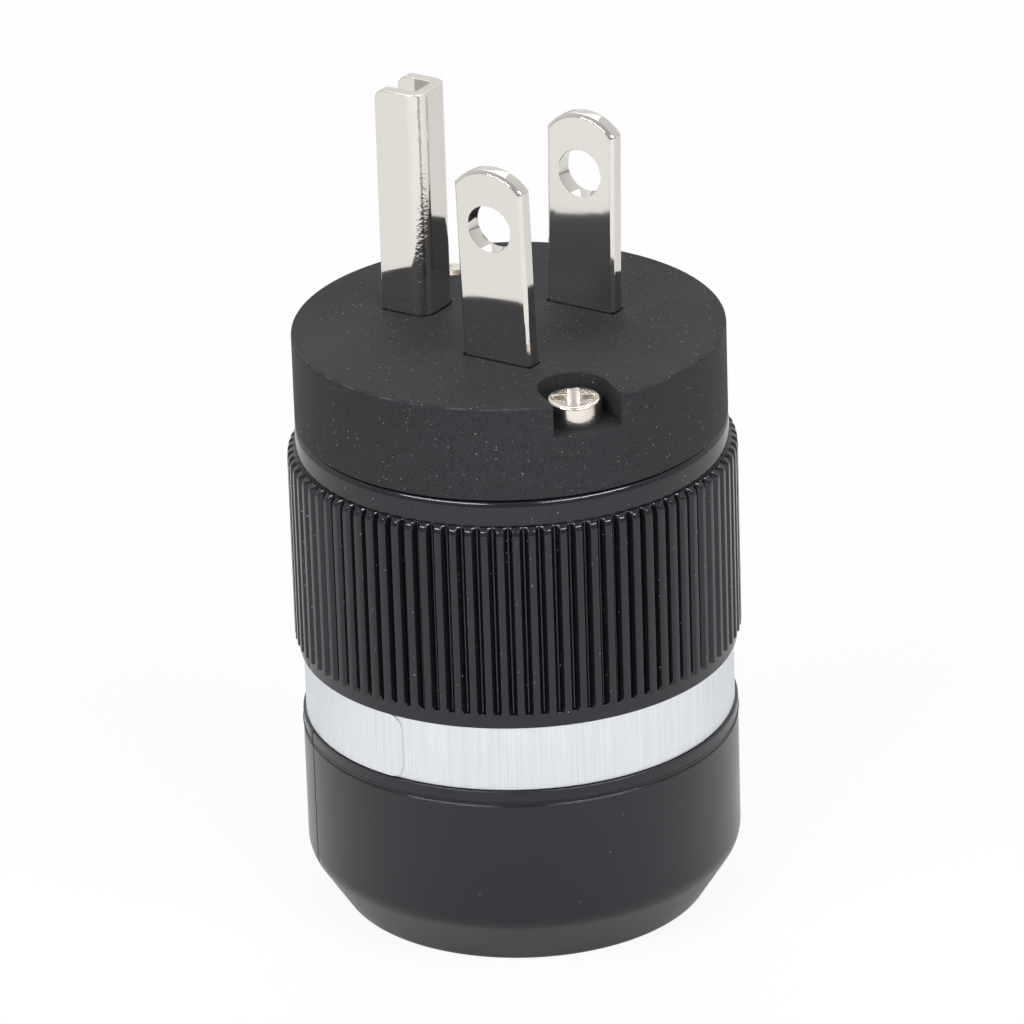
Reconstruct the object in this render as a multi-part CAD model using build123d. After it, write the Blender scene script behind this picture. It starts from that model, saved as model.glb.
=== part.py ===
from build123d import *
import os
from math import cos, radians, sin, sqrt, tan

# Rewireable three-pin mains plug, standing on its cable end with the prongs up.
# Z runs up the body's axis from the foot, X goes from the neutral blade to the line blade,
# and Y goes from the blades towards the ground pin. All lengths are in millimetres.

# Heights of the bands up the body
cone_height = 4.6
rear_height = 12.0
label_height = 5.65
shoulder_height = 1.25
grip_height = 18.6
flange_height = 7.9

# Outer radius of the rear body, and how far the other bands stand in or out from it
body_radius = 17.93
cone_inset = 2.93
label_recess = 0.4
shoulder_step = 0.04
insert_inset = 0.33
groove_inset = 0.43

# Ribbed grip ring
ring_wall = 1.0
nose_step = 0.13
nose_height = 2.23
rib_count = 90
rib_turn = 1.07
rib_depth = 0.83
rib_root_width = 1.1
rib_tip_width = 0.5

# Clearances between pieces
slide_clearance = 0.1
slot_clearance = 0.08
end_clearance = 0.1
thread_clearance = 0.05
press_clearance = 0.02
loose_clearance = 0.3
screw_clearance = 0.15

# Prong pattern
blade_spacing = 12.7
blade_offset = 3.35
ground_offset = 11.89

# Blades
blade_width = 6.3
blade_thickness = 1.5
blade_length = 16.5
blade_tip_rise = 1.55
blade_splay = 2.3
blade_edge_chamfer = 0.25
blade_hole_diameter = 3.96
blade_hole_inset = 5.0
blade_shoulder = 0.95

# Ground pin, folded from sheet
ground_width = 4.5
ground_depth = 4.3
ground_sheet = 1.05
ground_inner_bend = 0.25
ground_length = 19.1
ground_corner_round = 0.9
ground_shoulder = 1.45

# Front insert
seat_drop = 2.1
spigot_length = 14.1
spigot_gap = 0.5

# Wire clamp plates and terminal screws
plate_width = 7.8
plate_margin = 1.6
plate_thickness = 1.2
wire_groove_depth = 0.4
wire_groove_spacing = 5.4
terminal_screw_radius = 1.75
terminal_tip_reach = 1.9
terminal_head_radius = 3.0
terminal_head_height = 2.0

# Terminal cover and its screw
cover_thickness = 2.0
wire_slot_width = 4.0
cover_screw_offset = 4.0
cover_screw_radius = 1.1
cover_screw_bite = 5.5
cover_head_radius = 2.1
cover_head_height = 1.4

# Long assembly screws, their pockets in the face, and the square nuts
screw_inset = 3.25
screw_angle = 53.3
screw_radius = 1.5
screw_tip_reach = 0.7
assembly_head_radius = 2.25
assembly_head_height = 1.87
screw_pocket_radius = 2.87
screw_pocket_depth = 2.78
nut_width = 5.0
nut_thickness = 2.4
nut_drop = 5.4
recess_span = 3.6
recess_floor_span = 1.6
recess_width = 1.0
recess_depth = 1.2
recess_turn = -20.3

# Two-part rear shell
seam_angle = 140.5
seam_gap = 0.12
floor_thickness = 3.5
cable_hole_radius = 8.5
tongue_wall = 1.2
boss_wall = 0.8

# Cord clamp: two jaws on the shell's floor, drawn together by two screws
clamp_inset = 5.7
clamp_head_radius = 2.6
clamp_head_height = 2.0
jaw_height = 8.0
jaw_thickness = 5.5
jaw_gap = 0.8
jaw_back_wall = 1.2
cord_groove_mouth = 13.0
cord_groove_bottom = 7.0
tooth_height = 0.6
tooth_pitch = 2.6

# Wrapped foil label
label_thickness = 0.12
label_lap_angle = 180.0
label_lap_span = 15.0
label_ramp_span = 40.0
label_corner_round = 1.2
label_edge_gap = 0.05

# Heights that follow from the sizes above
cone_top = cone_height
label_bottom = cone_top + rear_height
label_top = label_bottom + label_height
grip_bottom = label_top + shoulder_height
grip_top = grip_bottom + grip_height
face_height = grip_top + flange_height
nose_bottom = grip_top - nose_height
seat_height = grip_top - seat_drop
spigot_bottom = grip_top - spigot_length
tail_bottom = spigot_bottom + end_clearance
tongue_top = spigot_bottom - spigot_gap
cover_bottom = spigot_bottom - cover_thickness
boss_top = cover_bottom - end_clearance
terminal_screw_height = (seat_height + spigot_bottom) / 2
pocket_floor = face_height - screw_pocket_depth
nut_top = boss_top - nut_drop
clamp_height = floor_thickness + jaw_height / 2
model_top = face_height + max(blade_length, ground_length)

# Radii, distances and lengths that follow from the sizes above
foot_radius = body_radius - cone_inset
label_seat_radius = body_radius - label_recess
shoulder_radius = body_radius + shoulder_step
insert_radius = body_radius - insert_inset
groove_root_radius = body_radius - groove_inset
nose_radius = groove_root_radius + nose_step
rib_tip_radius = groove_root_radius + rib_depth
ring_bore_radius = groove_root_radius - ring_wall
fitted_radius = ring_bore_radius - slide_clearance
cavity_radius = fitted_radius - tongue_wall
screw_circle_radius = insert_radius - screw_inset
screw_hole_radius = screw_radius + screw_clearance
screw_length = pocket_floor - (nut_top - nut_thickness - screw_tip_reach)
boss_width = nut_width + 2 * boss_wall
boss_inner = screw_circle_radius - nut_width / 2
blade_tail_width = blade_width + 2 * blade_shoulder
ground_tail_width = ground_width + 2 * ground_shoulder
ground_front = ground_offset - blade_offset - ground_depth / 2
pocket_width = max(blade_tail_width, ground_tail_width, plate_width) + 2 * loose_clearance
plate_height = seat_height - spigot_bottom - 2 * plate_margin
terminal_screw_length = plate_thickness + blade_thickness + terminal_tip_reach
clamp_offset = cavity_radius - clamp_inset
jaw_outer = jaw_gap / 2 + jaw_thickness
clamp_screw_length = 2 * jaw_outer + nut_thickness + screw_tip_reach

# How far cutting tools run past the body, and how far fused pieces sink into each other
overcut = 2 * body_radius
bury = 0.3


def column(radius, bottom, top):
    """Upright cylinder on the body's axis."""
    return Pos(0, 0, bottom) * Cylinder(radius, top - bottom, align=(Align.CENTER, Align.CENTER, Align.MIN))


def block(low, high):
    """Box from its lowest corner to its highest corner."""
    size = [top - bottom for bottom, top in zip(low, high)]
    return Pos(*low) * Box(*size, align=(Align.MIN, Align.MIN, Align.MIN))


def rod_along_x(radius, start, end):
    """Cylinder along X between two distances, the smaller first."""
    rod = Cylinder(radius, end - start, align=(Align.CENTER, Align.CENTER, Align.MIN))
    return Pos(start, 0, 0) * Rot(0, 90, 0) * rod


def bar_along_x(half_width, start, end):
    """Square bar along X between two distances, the smaller first."""
    return block((start, -half_width, -half_width), (end, half_width, half_width))


def plain_screw(shank_radius, length, head_radius, head_height):
    """Screw with its head seat at the origin and its shank down -Z."""
    return column(head_radius, 0, head_height) + column(shank_radius, -length, 0)


def screw_places():
    """Places of the two long screws on their circle, one on each side of the axis."""
    return [Rot(0, 0, screw_angle + turn) * Pos(screw_circle_radius, 0, 0) for turn in (0, 180)]


def blade_place(side):
    """Frame on a blade's middle plane, with X pointing away from the body's axis."""
    turn = 0 if side > 0 else 180
    return Pos(0, -blade_offset, 0) * Rot(0, 0, turn) * Pos(blade_spacing / 2, 0, 0)


def ground_place():
    """Frame on the middle of the ground tail's sheet, with X pointing away from the blades."""
    return Rot(0, 0, 90) * Pos(ground_front + ground_sheet / 2, 0, 0)


def terminal_places():
    """Frame and tail thickness of each of the three terminals."""
    return [
        (blade_place(-1), blade_thickness),
        (blade_place(1), blade_thickness),
        (ground_place(), ground_sheet),
    ]


def on_terminals(make):
    """One copy of a terminal piece for each terminal, against its tail's outer face."""
    return [place * Pos(thickness / 2, 0, 0) * make() for place, thickness in terminal_places()]


def tail(width, thickness):
    """Flat terminal tail with its tapped hole, under the prong's seat."""
    plate = block((-thickness / 2, -width / 2, tail_bottom), (thickness / 2, width / 2, seat_height))
    hole = rod_along_x(terminal_screw_radius + thread_clearance, -thickness, thickness)
    return plate - Pos(0, 0, terminal_screw_height) * hole


def blade():
    """Flat blade with a round tip, bevelled edges and a hole, spread outwards above the face."""
    half = blade_width / 2
    thick = blade_thickness / 2
    tip = face_height + blade_length
    corner = tip - blade_tip_rise
    outline = Polyline((-half, corner), (-half, seat_height), (half, seat_height), (half, corner))
    outline += ThreePointArc((half, corner), (0, tip), (-half, corner))
    slope = tan(radians(blade_splay))
    lean = slope * blade_length
    bent_sheet = Polyline(
        (-thick, seat_height),
        (thick, seat_height),
        (thick, face_height),
        (thick + lean, tip),
        (lean - thick, tip),
        (-thick, face_height),
        close=True,
    )
    prong = extrude(Plane.YZ * make_face(outline), blade_width, both=True)
    prong &= extrude(Plane.XZ * make_face(bent_sheet), blade_width, both=True)
    rim = []
    for edge in prong.edges():
        middle = edge.center()
        off_sheet = middle.X - slope * max(0, middle.Z - face_height)
        across_bend = abs(middle.Z - face_height) < bury
        if middle.Z > seat_height + bury and abs(off_sheet) > thick / 2 and not across_bend:
            rim.append(edge)
    prong = chamfer(rim, blade_edge_chamfer)
    hole = rod_along_x(blade_hole_diameter / 2, -blade_width, blade_width)
    prong -= Pos(0, 0, tip - blade_hole_inset) * hole
    return prong + tail(blade_tail_width, blade_thickness)


def folded_section(grow):
    """U section of the ground pin, seen from above, grown on every side."""
    width = ground_width + 2 * grow
    depth = ground_depth + 2 * grow
    sheet = ground_sheet + 2 * grow
    front = ground_front - grow
    outer = Pos(0, front + depth / 2) * Rectangle(width, depth)
    inner = Pos(0, front + sheet + depth / 2) * Rectangle(width - 2 * sheet, depth)
    outer = fillet(outer.vertices().group_by(Axis.Y)[0], ground_inner_bend + ground_sheet + grow)
    inner = fillet(inner.vertices().group_by(Axis.Y)[0], ground_inner_bend - grow)
    return outer - inner


def ground_pin():
    """Sheet pin folded to a U, with rounded leg ends and a flat terminal tail."""
    top = face_height + ground_length
    pin = extrude(Pos(0, 0, seat_height) * folded_section(0), top - seat_height)
    round_y = ground_front + ground_depth - ground_corner_round
    round_z = top - ground_corner_round
    corner = block((-ground_width, round_y, round_z), (ground_width, overcut, top + bury))
    corner -= Pos(0, round_y, round_z) * rod_along_x(ground_corner_round, -ground_width, ground_width)
    return pin - corner + ground_place() * tail(ground_tail_width, ground_sheet)


def clamp_plate():
    """Wire clamp plate with its hole and two wire grooves, flat on the plane x = 0."""
    half_width = plate_width / 2
    half_height = plate_height / 2
    plate = block((0, -half_width, -half_height), (plate_thickness, half_width, half_height))
    plate -= rod_along_x(terminal_screw_radius + screw_clearance, -plate_thickness, 2 * plate_thickness)
    groove_side = sqrt(2) * wire_groove_depth
    groove = Rot(0, 0, 45) * Box(groove_side, groove_side, 2 * plate_height)
    for side in (-1, 1):
        plate -= Pos(0, side * wire_groove_spacing / 2, 0) * groove
    return Pos(0, 0, terminal_screw_height) * plate


def terminal_screw():
    """Terminal screw that points towards the axis, with its head on the clamp plate."""
    head = column(terminal_head_radius, 0, terminal_head_height)
    shank = column(terminal_screw_radius, -terminal_screw_length, 0)
    return Pos(plate_thickness, 0, terminal_screw_height) * Rot(0, 90, 0) * (head + shank)


def cover_screw_place():
    """Place of the cover screw, on the plane where the cover meets the insert."""
    return Pos(0, -cover_screw_offset, spigot_bottom)


def terminal_pocket(thickness):
    """Room for one terminal, open outwards and to the rear, with a relief for the screw's tip."""
    inner = -thickness / 2 - slot_clearance
    half = pocket_width / 2
    pocket = block((inner, -half, spigot_bottom - bury), (overcut, half, seat_height))
    tip = plate_thickness + thickness / 2 - terminal_screw_length
    relief = bar_along_x(terminal_screw_radius + loose_clearance, tip - loose_clearance, 0)
    return pocket + Pos(0, 0, terminal_screw_height) * relief


def blade_slot():
    """Slot for one blade through the prong face."""
    thick = blade_thickness / 2 + slot_clearance
    wide = blade_width / 2 + slot_clearance
    return block((-thick, -wide, seat_height - bury), (thick, wide, face_height + bury))


def screw_pocket():
    """Pocket for a long screw's head, open to the side of the insert, with the screw's hole."""
    half = screw_pocket_radius
    pocket = column(half, pocket_floor, face_height + bury)
    pocket += block((0, -half, pocket_floor), (overcut, half, face_height + bury))
    return pocket + column(screw_hole_radius, spigot_bottom - bury, pocket_floor + bury)


def front_insert():
    """Moulded insert: the prong face, the spigot and three open terminal pockets."""
    body = column(insert_radius, grip_top, face_height) + column(fitted_radius, spigot_bottom, grip_top)
    for place, thickness in terminal_places():
        body -= place * terminal_pocket(thickness)
    for side in (-1, 1):
        body -= blade_place(side) * blade_slot()
    slot_height = face_height - seat_height + 2 * bury
    body -= extrude(Pos(0, 0, seat_height - bury) * folded_section(slot_clearance), slot_height)
    for place in screw_places():
        body -= place * screw_pocket()
    pilot = column(cover_screw_radius + thread_clearance, -bury, cover_screw_bite + end_clearance)
    return body - cover_screw_place() * pilot


def terminal_cover():
    """Disc that closes the terminal pockets, with slots for the wires and the long screws."""
    cover = column(cavity_radius - loose_clearance, cover_bottom, spigot_bottom)
    half_slot = wire_slot_width / 2
    for place, thickness in terminal_places():
        start = thickness / 2 + loose_clearance
        cover -= place * block((start, -half_slot, 0), (overcut, half_slot, face_height))
    half_slot = screw_hole_radius
    for place in screw_places():
        cover -= place * block((-half_slot, -half_slot, 0), (overcut, half_slot, face_height))
    return cover - cover_screw_place() * column(cover_screw_radius + screw_clearance, -overcut, overcut)


def cover_screw():
    """Short screw that holds the terminal cover, head towards the foot."""
    length = cover_thickness + cover_screw_bite
    screw = plain_screw(cover_screw_radius, length, cover_head_radius, cover_head_height)
    return cover_screw_place() * Pos(0, 0, -cover_thickness) * Rot(180, 0, 0) * screw


def grip_ring():
    """Ring with a smooth nose and upright tapered ribs that end in a flat ledge under the nose."""
    rib_length = grip_height - nose_height
    core = RegularPolygon(groove_root_radius, rib_count)
    ring = column(nose_radius, nose_bottom, grip_top) + extrude(Pos(0, 0, grip_bottom) * core, rib_length)
    buried = groove_root_radius - bury
    root = rib_root_width / 2
    tip = rib_tip_width / 2
    section = Polyline(
        (buried, -root),
        (groove_root_radius, -root),
        (rib_tip_radius, -tip),
        (rib_tip_radius, tip),
        (groove_root_radius, root),
        (buried, root),
        close=True,
    )
    rib = extrude(Pos(0, 0, grip_bottom) * make_face(section), rib_length)
    ring +=[Rot(0, 0, 360 * index / rib_count) * rib for index in range(rib_count)]
    ring -= column(ring_bore_radius, grip_bottom - bury, grip_top + bury)
    return Rot(0, 0, rib_turn) * ring


def shell_body():
    """Both halves of the rear shell in one turned solid, before the seam is cut."""
    outline = Polyline(
        (cable_hole_radius, 0),
        (foot_radius, 0),
        (body_radius, cone_top),
        (body_radius, label_bottom),
        (label_seat_radius, label_bottom),
        (label_seat_radius, label_top),
        (shoulder_radius, label_top),
        (shoulder_radius, grip_bottom),
        (fitted_radius, grip_bottom),
        (fitted_radius, tongue_top),
        (cavity_radius, tongue_top),
        (cavity_radius, floor_thickness),
        (cable_hole_radius, floor_thickness),
        close=True,
    )
    return revolve(Plane.XZ * make_face(outline), Axis.Z)


def screw_boss():
    """Boss for a long screw in the frame of its place, to be trimmed to the shell."""
    start = boss_inner - screw_circle_radius
    half = boss_width / 2
    return block((start, -half, floor_thickness - bury), (overcut, half, boss_top))


def screw_channel():
    """Channel for a long screw and its square nut, open towards the body's axis."""
    start = boss_inner - screw_circle_radius - bury
    nut_bottom = nut_top - nut_thickness
    bottom = nut_bottom - screw_tip_reach - end_clearance
    high = (screw_hole_radius, screw_hole_radius, tongue_top + bury)
    channel = block((start, -screw_hole_radius, bottom), high)
    half = nut_width / 2 + slot_clearance
    return channel + block((start, -half, nut_bottom - loose_clearance), (half, half, nut_top))


def clamp_places():
    """Places of the two cord clamp screws along the seam, in the seam's own frame."""
    return [Pos(0, end * clamp_offset, clamp_height) for end in (-1, 1)]


def half_turn(side):
    """Turn that takes a piece made for the far half to the half that is asked for."""
    return Rot(0, 0, 0 if side > 0 else 180)


def shell_half(side):
    """One half of the rear shell in the seam's own frame, far half towards +X."""
    beyond_seam = block((seam_gap / 2, -overcut, -bury), (overcut, overcut, face_height))
    half = shell_body() & (half_turn(side) * beyond_seam)
    inside = column(fitted_radius, 0, tongue_top)
    place = half_turn(side) * Rot(0, 0, screw_angle - seam_angle + 90) * Pos(screw_circle_radius, 0, 0)
    half += (place * screw_boss()) & inside
    return half - place * screw_channel()


def cord_jaw(side):
    """Jaw with a toothed groove for the cord, notched to straddle the two clamp screws."""
    top = floor_thickness + jaw_height
    jaw = block((jaw_gap / 2, -overcut, floor_thickness), (jaw_outer, overcut, top))
    jaw &= column(cavity_radius - loose_clearance, 0, face_height)
    mouth = cord_groove_mouth / 2
    flat = cord_groove_bottom / 2
    depth = jaw_outer - jaw_back_wall
    groove = make_face(Polyline((0, -mouth), (depth, -flat), (depth, flat), (0, mouth), close=True))
    jaw -= extrude(groove, face_height)
    tooth = make_face(Polyline((0, -tooth_height), (-tooth_height, 0), (0, tooth_height), close=True))
    ridge = extrude(Plane.XZ * tooth, flat, both=True)
    for step in (-1, 0, 1):
        jaw += Pos(depth, 0, clamp_height + step * tooth_pitch) * ridge
    for clamp in clamp_places():
        end = 1 if clamp.position.Y > 0 else -1
        notch = block((0, -screw_hole_radius, -screw_hole_radius), (overcut, overcut, screw_hole_radius))
        jaw -= clamp * (notch if end > 0 else notch.mirror(Plane.XZ))
    return half_turn(side) * jaw


def square_nut():
    """Square nut lying on the ground plane."""
    plate = block((-nut_width / 2, -nut_width / 2, 0), (nut_width / 2, nut_width / 2, nut_thickness))
    return plate - column(screw_radius + thread_clearance, -bury, nut_thickness + bury)


def shell_nuts():
    """Two square nuts under the roofs of their slots in the shell's bosses."""
    return [place * Pos(0, 0, nut_top - nut_thickness) * square_nut() for place in screw_places()]


def clamp_nuts():
    """Two square nuts on the back of the near jaw."""
    bottom = -jaw_outer - nut_thickness
    return [place * Pos(bottom, 0, 0) * Rot(0, 90, 0) * square_nut() for place in clamp_places()]


def clamp_screws():
    """Two screws through both jaws, heads on the back of the far jaw."""
    screw = plain_screw(screw_radius, clamp_screw_length, clamp_head_radius, clamp_head_height)
    return [place * Pos(jaw_outer, 0, 0) * Rot(0, 90, 0) * screw for place in clamp_places()]


def assembly_screws():
    """Two long cross-recessed screws with their heads in the pockets of the face."""
    screw = plain_screw(screw_radius, screw_length, assembly_head_radius, assembly_head_height)
    cross = Rectangle(recess_span, recess_width) + Rectangle(recess_width, recess_span)
    point = Cone(recess_floor_span / 2, recess_span / 2, recess_depth)
    recess = Pos(0, 0, -recess_depth / 2) * point & extrude(cross, -recess_depth)
    screw -= Pos(0, 0, assembly_head_height) * Rot(0, 0, recess_turn) * recess
    return [place * Pos(0, 0, pocket_floor) * screw for place in screw_places()]


def polar(radius, angle):
    """Point on the ground plane at a radius and an angle."""
    return Vector(radius * cos(radians(angle)), radius * sin(radians(angle)))


def lap_corner(height, upper):
    """What rounds off the lower or the upper corner of the label's free end."""
    size = label_corner_round
    corner = block((0, -size, 0), (overcut, bury, size))
    corner -= Pos(0, -size, size) * rod_along_x(size, 0, overcut)
    if upper:
        corner = Pos(0, 0, height) * corner.mirror(Plane.XY)
    return Rot(0, 0, label_lap_angle) * corner


def label_band():
    """Foil strip wrapped once round the shell, its end lapped over its start."""
    inner = label_seat_radius + press_clearance
    single = inner + label_thickness
    double = single + label_thickness
    lap_start = label_lap_angle - label_lap_span
    ramp_start = lap_start - label_ramp_span
    ramp_middle = polar((single + double) / 2, lap_start - label_ramp_span / 2)
    opposite = (label_lap_angle + ramp_start + 360) / 2
    around = polar(single, opposite)
    outline = ThreePointArc(polar(single, label_lap_angle), around, polar(single, ramp_start))
    outline += ThreePointArc(polar(single, ramp_start), ramp_middle, polar(double, lap_start))
    lap_middle = polar(double, lap_start + label_lap_span / 2)
    outline += ThreePointArc(polar(double, lap_start), lap_middle, polar(double, label_lap_angle))
    outline += Line(polar(double, label_lap_angle), polar(single, label_lap_angle))
    height = label_height - 2 * label_edge_gap
    band = extrude(make_face(outline), height) - column(inner, -bury, height + bury)
    for upper in (False, True):
        band -= lap_corner(height, upper) - column(single, -bury, height + bury)
    return Pos(0, 0, label_bottom + label_edge_gap) * band


neutral_plate, line_plate, ground_plate = on_terminals(clamp_plate)
seam_turn = Rot(0, 0, seam_angle - 90)
pieces = {
    "front_insert": front_insert(),
    "neutral_blade": blade_place(-1) * blade(),
    "line_blade": blade_place(1) * blade(),
    "ground_pin": ground_pin(),
    "neutral_clamp_plate": neutral_plate,
    "line_clamp_plate": line_plate,
    "ground_clamp_plate": ground_plate,
    "terminal_screws": Compound(on_terminals(terminal_screw)),
    "terminal_cover": terminal_cover(),
    "terminal_cover_screw": cover_screw(),
    "grip_ring": grip_ring(),
    "near_shell_half": seam_turn * shell_half(-1),
    "far_shell_half": seam_turn * shell_half(1),
    "label_band": label_band(),
    "assembly_screws": Compound(assembly_screws()),
    "shell_nuts": Compound(shell_nuts()),
    "near_cord_jaw": seam_turn * cord_jaw(-1),
    "far_cord_jaw": seam_turn * cord_jaw(1),
    "cord_clamp_screws": seam_turn * Compound(clamp_screws()),
    "cord_clamp_nuts": seam_turn * Compound(clamp_nuts()),
}

os.makedirs("parts", exist_ok=True)
for name, shape in pieces.items():
    export_step(shape, f"parts/{name}.step")
    print(name, "volume", round(shape.volume, 2))
print("overall height", round(model_top, 2))
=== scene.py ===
# %% [markdown]
# # A rewireable mains plug
#
# This lesson dresses a CAD model of a mains plug for a studio picture. The CAD parts give every size.
# Blender adds what a moulding tool, a plating bath and a brushing wheel leave on the real pieces:
# soft edges, fine ribs, grain, dust and shine. All is in metres, in the CAD model's own frame, so each
# piece goes where its CAD part is.

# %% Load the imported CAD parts
from math import atan2, cos, pi, radians, sin, sqrt, tan

import bmesh
import bpy
from mathutils import Matrix, Vector


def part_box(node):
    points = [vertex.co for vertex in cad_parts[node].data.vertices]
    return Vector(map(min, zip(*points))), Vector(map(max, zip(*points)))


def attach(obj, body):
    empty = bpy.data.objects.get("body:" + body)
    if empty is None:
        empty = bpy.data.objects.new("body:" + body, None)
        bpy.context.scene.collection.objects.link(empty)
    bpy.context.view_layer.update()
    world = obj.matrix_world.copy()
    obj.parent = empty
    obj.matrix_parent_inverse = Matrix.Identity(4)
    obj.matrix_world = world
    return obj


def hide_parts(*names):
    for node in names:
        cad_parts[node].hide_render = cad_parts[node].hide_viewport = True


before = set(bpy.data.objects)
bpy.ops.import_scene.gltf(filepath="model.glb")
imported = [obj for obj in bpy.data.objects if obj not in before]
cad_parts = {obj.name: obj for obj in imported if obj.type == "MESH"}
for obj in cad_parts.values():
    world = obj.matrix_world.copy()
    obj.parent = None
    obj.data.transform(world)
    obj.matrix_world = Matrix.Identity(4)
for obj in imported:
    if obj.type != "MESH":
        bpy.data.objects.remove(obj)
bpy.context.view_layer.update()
# The plug's sizes are written in millimetres, and MM turns them to metres. The studio's are in metres.
MM = 0.001


# %% [markdown]
# ## The camera
#
# The photograph was taken from far away with a long lens, so upright lines stay nearly parallel. A camera
# could be aimed by eye. Here it is described from the prong face: how far it turned round the plug, how
# high it stood, how much it leaned, and where the middle of the face lies in front of it. Such numbers can
# be measured in a picture, and they give the same view each time.

# %% Where the camera looks
camera_turn = radians(-57.0)
camera_lift = radians(24.02)
camera_roll = radians(-1.876)

flat_ahead = Vector((-sin(camera_turn), cos(camera_turn), 0))
ahead = flat_ahead * cos(camera_lift) - Vector((0, 0, sin(camera_lift)))
level_right = Vector((cos(camera_turn), sin(camera_turn), 0))
level_down = ahead.cross(level_right)
right = level_right * cos(camera_roll) - level_down * sin(camera_roll)
down = level_right * sin(camera_roll) + level_down * cos(camera_roll)
print("camera looks along:", [round(x, 3) for x in ahead])

# %% Place the camera
# A picture 1024 pixels wide on a 36 mm sensor turns a focal length in pixels into one in millimetres.
focal_pixels = 8041.0
picture_pixels = 1024.0
sensor_mm = 36.0
face_in_view = Vector((-0.29, -15.264, 649.5)) * MM
face_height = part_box("front_insert")[1].z

camera_data = bpy.data.cameras.new("studio_camera")
camera_data.sensor_width = sensor_mm
camera_data.lens = focal_pixels * sensor_mm / picture_pixels
camera_data.clip_start = 0.01
camera_data.clip_end = 20.0
camera = bpy.data.objects.new("studio_camera", camera_data)
bpy.context.scene.collection.objects.link(camera)
shift = right * face_in_view.x + down * face_in_view.y + ahead * face_in_view.z
turned = Matrix((right, -down, -ahead)).transposed().to_4x4()
camera.matrix_world = Matrix.Translation(Vector((0, 0, face_height)) - shift) @ turned
bpy.context.scene.camera = camera
print("lens in mm:", round(camera_data.lens, 1))

# %% [markdown]
# ## Helpers for materials
#
# Colours are written as sRGB hex, as a paint chart gives them, and one function turns them to the linear
# light that shaders count in. A shader tree could be drawn by hand in the editor. In a script, one function
# that adds a node, sets its options and fills or links its inputs keeps every tree readable. The scale of
# each pattern is worked out from its size in millimetres on the real surface.

# %% Colour and node helpers
def linear(hex_colour):
    """Linear RGBA from an sRGB hex colour such as #2b2b2d."""
    parts = [int(hex_colour[i:i + 2], 16) / 255 for i in (1, 3, 5)]
    return [p / 12.92 if p <= 0.04045 else ((p + 0.055) / 1.055) ** 2.4 for p in parts] + [1.0]


def add_node(tree, kind, options=None, inputs=None):
    """Adds a node, sets its options, and sets or links its inputs."""
    node = tree.nodes.new(kind)
    for name, value in (options or {}).items():
        setattr(node, name, value)
    for name, value in (inputs or {}).items():
        if isinstance(value, bpy.types.NodeSocket):
            tree.links.new(value, node.inputs[name])
        else:
            node.inputs[name].default_value = value
    return node


def per_mm(size):
    """Texture scale that makes a pattern's features about this many millimetres wide."""
    return 1 / (size * MM)


print("mid grey in linear light:", round(linear("#808080")[0], 3), "scale for 1 mm:", round(per_mm(1)))

# %% A plain material to start from
# A Mix node keeps its sockets for numbers, vectors and colours side by side. These are the colour ones.
COLOUR_A = 6
COLOUR_B = 7
COLOUR_OUT = 2


def new_finish(name, settings):
    """A material with one Principled shader, and its tree, shader and Object coordinates."""
    material = bpy.data.materials.new(name)
    material.use_nodes = True
    tree = material.node_tree
    tree.nodes.clear()
    shader = add_node(tree, "ShaderNodeBsdfPrincipled", inputs=settings)
    add_node(tree, "ShaderNodeOutputMaterial", inputs={"Surface": shader.outputs["BSDF"]})
    place = add_node(tree, "ShaderNodeTexCoord").outputs["Object"]
    return material, tree, shader, place


print("materials so far:", len(bpy.data.materials))

# %% [markdown]
# ## Dust on black plastic
#
# Black mouldings show each speck of dust as a pale dot under studio light. Dots could be painted, or
# scattered as tiny meshes. A Voronoi texture is lighter: it divides space into cells, each with a centre
# and a random colour, and that colour decides whether the cell holds a speck, how large it is and how pale.

# %% Dust specks
# Most real dust is finer than a pixel of the picture, so the specks are drawn about a pixel wide, to show.
dust_spacing = 0.35
dust_radius = 0.05
smallest_speck = 0.3
faintest_speck = 0.25
# The dust gathers in clouds: noise from the first value to the second takes its share from thin to thick.
thin_noise = 0.35
thick_noise = 0.65
thin_dust = 0.3
thick_dust = 1.5


def dust_mask(tree, place, cloud, share):
    """Value above 0 on round dust specks, in about this share of the cells."""
    cell = add_node(
        tree, "ShaderNodeTexVoronoi", inputs={"Vector": place, "Scale": per_mm(dust_spacing)}
    ).outputs
    chance = add_node(tree, "ShaderNodeSeparateColor", inputs={"Color": cell["Color"]}).outputs
    bar = add_node(
        tree, "ShaderNodeMapRange",
        inputs={"Value": cloud, "From Min": thin_noise, "From Max": thick_noise,
                "To Min": 1 - thin_dust * share, "To Max": 1 - thick_dust * share},
    )
    picked = add_node(
        tree, "ShaderNodeMath", {"operation": "GREATER_THAN"},
        {0: chance["Red"], 1: bar.outputs["Result"]},
    )
    size = add_node(
        tree, "ShaderNodeMapRange",
        inputs={"Value": chance["Green"], "To Min": smallest_speck * dust_radius / dust_spacing,
                "To Max": dust_radius / dust_spacing},
    )
    inside = add_node(
        tree, "ShaderNodeMath", {"operation": "LESS_THAN"},
        {0: cell["Distance"], 1: size.outputs["Result"]},
    )
    speck = add_node(
        tree, "ShaderNodeMath", {"operation": "MULTIPLY"}, {0: picked.outputs[0], 1: inside.outputs[0]}
    )
    paleness = add_node(
        tree, "ShaderNodeMapRange",
        inputs={"Value": chance["Blue"], "To Min": faintest_speck, "To Max": 1.0},
    )
    mask = add_node(
        tree, "ShaderNodeMath", {"operation": "MULTIPLY"},
        {0: speck.outputs[0], 1: paleness.outputs["Result"]},
    )
    return mask.outputs[0]


print("dust cells per square centimetre:", round((10 / dust_spacing) ** 2))

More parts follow.
